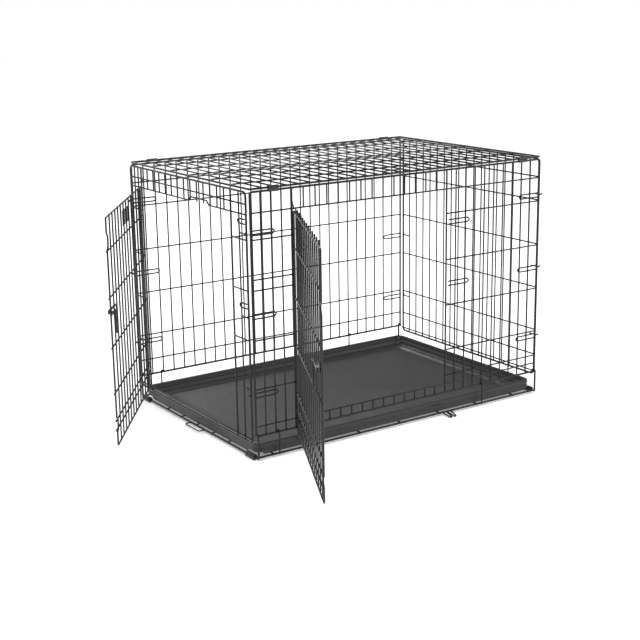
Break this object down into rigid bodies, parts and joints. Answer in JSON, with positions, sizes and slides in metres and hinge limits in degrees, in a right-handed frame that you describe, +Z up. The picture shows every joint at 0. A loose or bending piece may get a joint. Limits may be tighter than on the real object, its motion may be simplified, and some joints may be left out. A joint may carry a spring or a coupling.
{
  "type": "wire dog crate",
  "caption": "Folding wire dog crate with a side door and an end door, both open, slide bolts, roller feet and a slide-out plastic pan.",
  "frame": {"origin": "on the floor under the middle of the crate", "axes": "+Z up, X along the crate's length, the long side with the door faces -Y and the end with the door faces -X"},
  "size_m": [1.4454, 1.2389, 0.792],
  "materials": {
    "coated_wire": "glossy black coating over steel wire",
    "pan_plastic": "satin moulded plastic",
    "foot_plastic": "satin moulded plastic",
    "clip_plastic": "smooth moulded plastic",
    "badge_plastic": "smooth blank plate"
  },
  "bodies": {
    "base": {"back_left_corner_upright": "coated_wire", "back_left_hanger": "coated_wire", "back_right_corner_upright": "coated_wire", "back_right_hanger": "coated_wire", "base_grid": "coated_wire", "front_floor_catch": "coated_wire", "front_left_corner_upright": "coated_wire", "front_left_hanger": "coated_wire", "front_right_corner_upright": "coated_wire", "front_right_hanger": "coated_wire"},
    "back_panel": {"back_left_lower_corner_loop": "coated_wire", "back_left_middle_corner_loop": "coated_wire", "back_left_upper_corner_loop": "coated_wire", "back_panel_grille": "coated_wire", "back_right_lower_corner_loop": "coated_wire", "back_right_middle_corner_loop": "coated_wire", "back_right_upper_corner_loop": "coated_wire"},
    "back_left_roller": {"back_left_roller": "foot_plastic"},
    "back_right_roller": {"back_right_roller": "foot_plastic"},
    "front_door_bolt": {"front_door_bolt": "coated_wire"},
    "front_door": {"front_door_bolt_guide": "coated_wire", "front_door_grille": "coated_wire"},
    "front_panel": {"front_door_lower_pin": "coated_wire", "front_door_upper_pin": "coated_wire", "front_left_lower_corner_loop": "coated_wire", "front_left_middle_corner_loop": "coated_wire", "front_left_upper_corner_loop": "coated_wire", "front_lower_catch_loop": "coated_wire", "front_panel_header_grille": "coated_wire", "front_panel_left_grille": "coated_wire", "front_panel_right_grille": "coated_wire", "front_panel_sill_grille": "coated_wire", "front_right_lower_corner_loop": "coated_wire", "front_right_middle_corner_loop": "coated_wire", "front_right_upper_corner_loop": "coated_wire", "front_upper_catch_loop": "coated_wire"},
    "front_left_roller": {"front_left_roller": "foot_plastic"},
    "front_right_roller": {"front_right_roller": "foot_plastic"},
    "left_door": {"left_door_badge": "badge_plastic", "left_door_bolt_guide": "coated_wire", "left_door_grille": "coated_wire"},
    "left_door_bolt": {"left_door_bolt": "coated_wire"},
    "left_panel": {"left_door_lower_pin": "coated_wire", "left_door_upper_pin": "coated_wire", "left_lower_catch_loop": "coated_wire", "left_panel_back_grille": "coated_wire", "left_panel_front_grille": "coated_wire", "left_panel_header_grille": "coated_wire", "left_panel_sill_grille": "coated_wire", "left_upper_catch_loop": "coated_wire"},
    "pan": {"pan": "pan_plastic"},
    "pan_stop": {"pan_stop": "coated_wire"},
    "right_panel": {"right_panel_grille": "coated_wire"},
    "top_panel": {"top_back_left_clip": "clip_plastic", "top_back_right_clip": "clip_plastic", "top_front_left_clip": "clip_plastic", "top_front_right_clip": "clip_plastic", "top_panel_grille": "coated_wire"}
  },
  "joints": [
    {"name": "front_panel_fold", "type": "hinge", "parent": "base", "child": "front_panel", "pos_m": [0, -0.365, 0.075], "axis": [-1, 0, 0], "range_deg": [0, 20]},
    {"name": "back_panel_fold", "type": "hinge", "parent": "base", "child": "back_panel", "pos_m": [0, 0.365, 0.079], "axis": [1, 0, 0], "range_deg": [0, 90]},
    {"name": "top_panel_swing", "type": "hinge", "parent": "back_panel", "child": "top_panel", "pos_m": [0, 0.375, 0.785], "axis": [-1, 0, 0], "range_deg": [0, 270]},
    {"name": "left_panel_fold", "type": "hinge", "parent": "base", "child": "left_panel", "pos_m": [-0.547, 0, 0.054], "axis": [0, -1, 0], "range_deg": [-20, 0]},
    {"name": "right_panel_fold", "type": "hinge", "parent": "base", "child": "right_panel", "pos_m": [0.547, 0, 0.062], "axis": [0, -1, 0], "range_deg": [0, 90]},
    {"name": "front_door_swing", "type": "hinge", "parent": "front_panel", "child": "front_door", "pos_m": [-0.401, -0.371, 0.384], "axis": [0, 0, 1], "range_deg": [-63.6, 116.3]},
    {"name": "left_door_swing", "type": "hinge", "parent": "left_panel", "child": "left_door", "pos_m": [-0.553, 0.269, 0.4], "axis": [0, 0, -1], "range_deg": [-36.1, 143.4]},
    {"name": "front_door_bolt_slide", "type": "slide", "parent": "front_door", "child": "front_door_bolt", "axis": [-0.4431, -0.8965, 0], "range_m": [0, 0.03]},
    {"name": "left_door_bolt_slide", "type": "slide", "parent": "left_door", "child": "left_door_bolt", "axis": [-0.5892, -0.808, 0], "range_m": [0, 0.03]},
    {"name": "pan_slide", "type": "slide", "parent": "base", "child": "pan", "axis": [-1, 0, 0], "range_m": [0, 1]},
    {"name": "pan_stop_swing", "type": "hinge", "parent": "base", "child": "pan_stop", "pos_m": [-0.5457, -0.016, 0.009], "axis": [0, -1, 0], "range_deg": [-90, 0]},
    {"name": "front_left_roller_turn", "type": "hinge", "parent": "base", "child": "front_left_roller", "pos_m": [-0.54, -0.332, 0.009], "axis": [0, 1, 0], "continuous": true},
    {"name": "front_right_roller_turn", "type": "hinge", "parent": "base", "child": "front_right_roller", "pos_m": [0.54, -0.332, 0.009], "axis": [0, 1, 0], "continuous": true},
    {"name": "back_left_roller_turn", "type": "hinge", "parent": "base", "child": "back_left_roller", "pos_m": [-0.54, 0.332, 0.009], "axis": [0, 1, 0], "continuous": true},
    {"name": "back_right_roller_turn", "type": "hinge", "parent": "base", "child": "back_right_roller", "pos_m": [0.54, 0.332, 0.009], "axis": [0, 1, 0], "continuous": true}
  ],
  "couplings": [
    {"joint": "top_panel_swing", "follows": "back_panel_fold", "ratio": 3}
  ]
}
